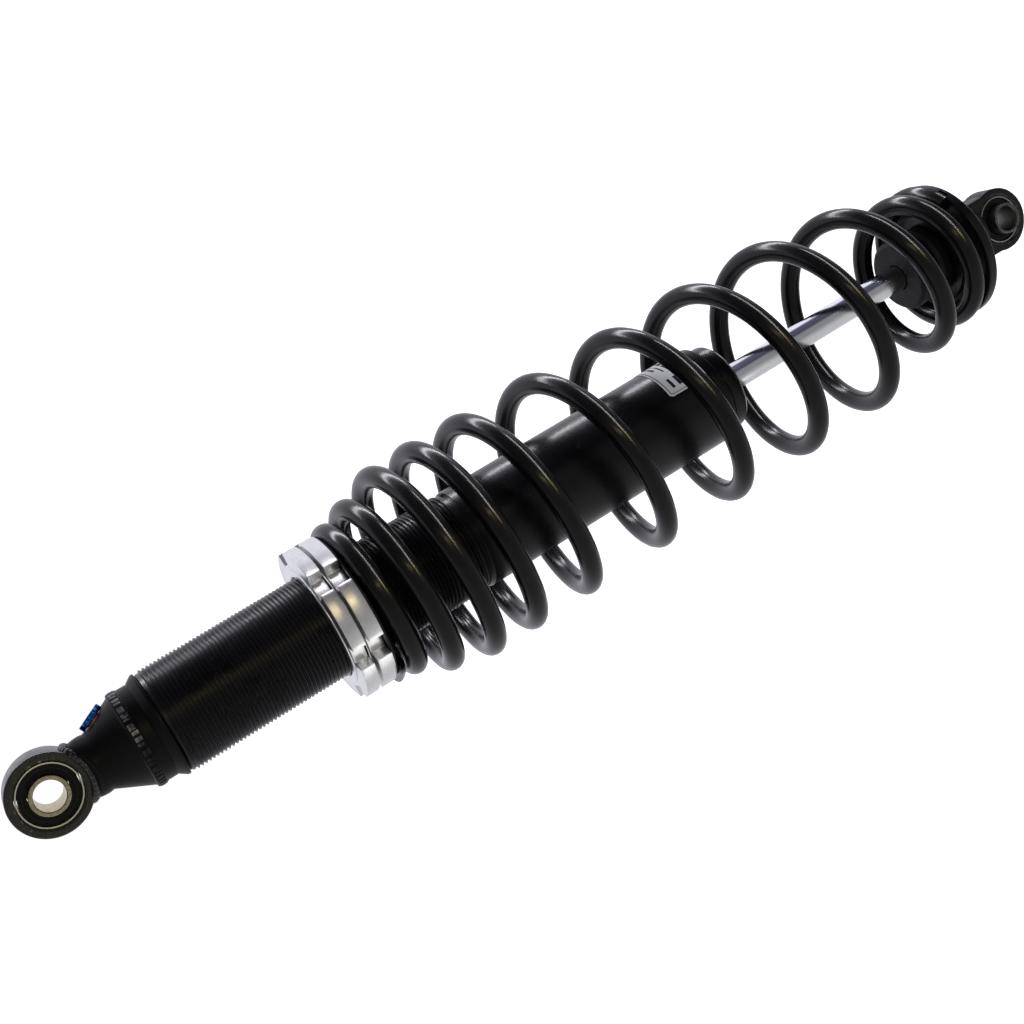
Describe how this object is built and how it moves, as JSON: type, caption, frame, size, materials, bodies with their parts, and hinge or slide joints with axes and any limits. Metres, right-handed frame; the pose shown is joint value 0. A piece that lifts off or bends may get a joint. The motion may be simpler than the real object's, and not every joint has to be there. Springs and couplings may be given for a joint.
{
  "type": "coil-over gas damper",
  "caption": "Coil-over gas damper with a threaded body, preload collar and lock ring, a barrel-shaped coil spring, a chromed rod and a bushed eye at each end.",
  "frame": {"origin": "centre of the upper eye's bore", "axes": "+Z from the lower eye to the upper eye along the rod, +Y along both eye bores, +X to the side"},
  "size_m": [0.11, 0.1108, 0.6171],
  "materials": {
    "black_cap": "satin black",
    "black_tube": "satin black anodised",
    "seal_cap_black": "gloss black anodised",
    "ring_aluminium": "machined",
    "bare_aluminium": "turned",
    "black_steel": "gloss black paint",
    "spring_black": "gloss black powder coat",
    "zinc_steel": "yellow zinc plated",
    "bare_steel": "bare",
    "rod_chrome": "hard chrome",
    "rubber": "matt",
    "orange_rubber": "matt",
    "blue_anodised": "blue anodised",
    "bronze": "plain",
    "band_plastic": "filled plastic",
    "label_foil": "foil"
  },
  "bodies": {
    "body": {"upper_end_cap": "black_cap", "upper_eye_ring": "black_cap", "upper_bush_shell": "zinc_steel", "upper_bush_rubber": "rubber", "end_cap_oring": "rubber", "body_tube": "black_tube", "body_label": "label_foil", "seal_head_cap": "seal_cap_black", "seal_head": "bare_aluminium", "rod_guide_bush": "bronze", "rod_seal": "rubber", "wiper_seal": "rubber", "seal_head_oring": "rubber", "seal_head_circlip": "bare_steel", "gas_fill_plug": "bare_steel", "adjuster_oring": "orange_rubber"},
    "upper_sleeve": {"upper_bush_sleeve": "zinc_steel"},
    "adjuster": {"adjuster_knob": "blue_anodised", "adjuster_needle": "bare_steel"},
    "gas_piston": {"floating_piston": "bare_aluminium", "floating_piston_oring": "rubber"},
    "seat": {"spring_seat": "black_steel"},
    "collar": {"preload_collar": "ring_aluminium"},
    "lock": {"lock_ring": "ring_aluminium"},
    "retainer": {"lower_spring_retainer": "black_steel", "coil_spring": "spring_black"},
    "shaft": {"piston_rod": "rod_chrome", "bump_stop": "rubber", "bump_stop_washer": "bare_steel", "lower_eye_mount": "black_cap", "lower_bush_shell": "zinc_steel", "lower_bush_rubber": "rubber", "piston": "bare_aluminium", "piston_band": "band_plastic", "compression_shim_1": "bare_steel", "compression_shim_2": "bare_steel", "compression_shim_3": "bare_steel", "rebound_shim_1": "bare_steel", "rebound_shim_2": "bare_steel", "rebound_shim_3": "bare_steel", "piston_nut": "bare_steel", "top_out_plate": "bare_steel", "top_out_bumper": "rubber"},
    "lower_sleeve": {"lower_bush_sleeve": "zinc_steel"}
  },
  "joints": [
    {"name": "shock_travel", "type": "slide", "parent": "body", "child": "retainer", "axis": [0, 0, 1], "range_m": [0, 0.12], "stiffness_N_per_m": 11157, "springref_m": -0.015, "deforming": ["coil_spring"]},
    {"name": "shaft_spin", "type": "hinge", "parent": "retainer", "child": "shaft", "pos_m": [0, 0, -0.5379], "axis": [0, 0, 1], "continuous": true},
    {"name": "preload_travel", "type": "slide", "parent": "body", "child": "seat", "axis": [0, 0, 1], "range_m": [-0.015, 0.006]},
    {"name": "collar_turn", "type": "hinge", "parent": "seat", "child": "collar", "pos_m": [0, 0, -0.1483], "axis": [0, 0, 1], "range_deg": [-2700, 1080]},
    {"name": "lock_ring_turn", "type": "hinge", "parent": "seat", "child": "lock", "pos_m": [0, 0, -0.1397], "axis": [0, 0, 1], "range_deg": [-2700, 1080]},
    {"name": "floating_piston_travel", "type": "slide", "parent": "body", "child": "gas_piston", "axis": [0, 0, 1], "range_m": [0, 0.012]},
    {"name": "upper_sleeve_twist", "type": "hinge", "parent": "body", "child": "upper_sleeve", "pos_m": [0, 0, 0], "axis": [0, 1, 0], "range_deg": [-12, 12], "stiffness_Nm_per_rad": 5},
    {"name": "lower_sleeve_twist", "type": "hinge", "parent": "shaft", "child": "lower_sleeve", "pos_m": [0, 0, -0.5805], "axis": [0, 1, 0], "range_deg": [-12, 12], "stiffness_Nm_per_rad": 5},
    {"name": "adjuster_turn", "type": "hinge", "parent": "body", "child": "adjuster", "pos_m": [0.01754, 0.00373, -0.0312], "axis": [0.878, 0.1866, 0.4408], "range_deg": [0, 300]}
  ],
  "couplings": [
    {"joint": "preload_travel", "follows": "collar_turn", "m_per_rad": 0.00031831},
    {"joint": "lock_ring_turn", "follows": "collar_turn", "ratio": 1},
    {"joint": "floating_piston_travel", "follows": "shock_travel", "ratio": 0.09263}
  ]
}
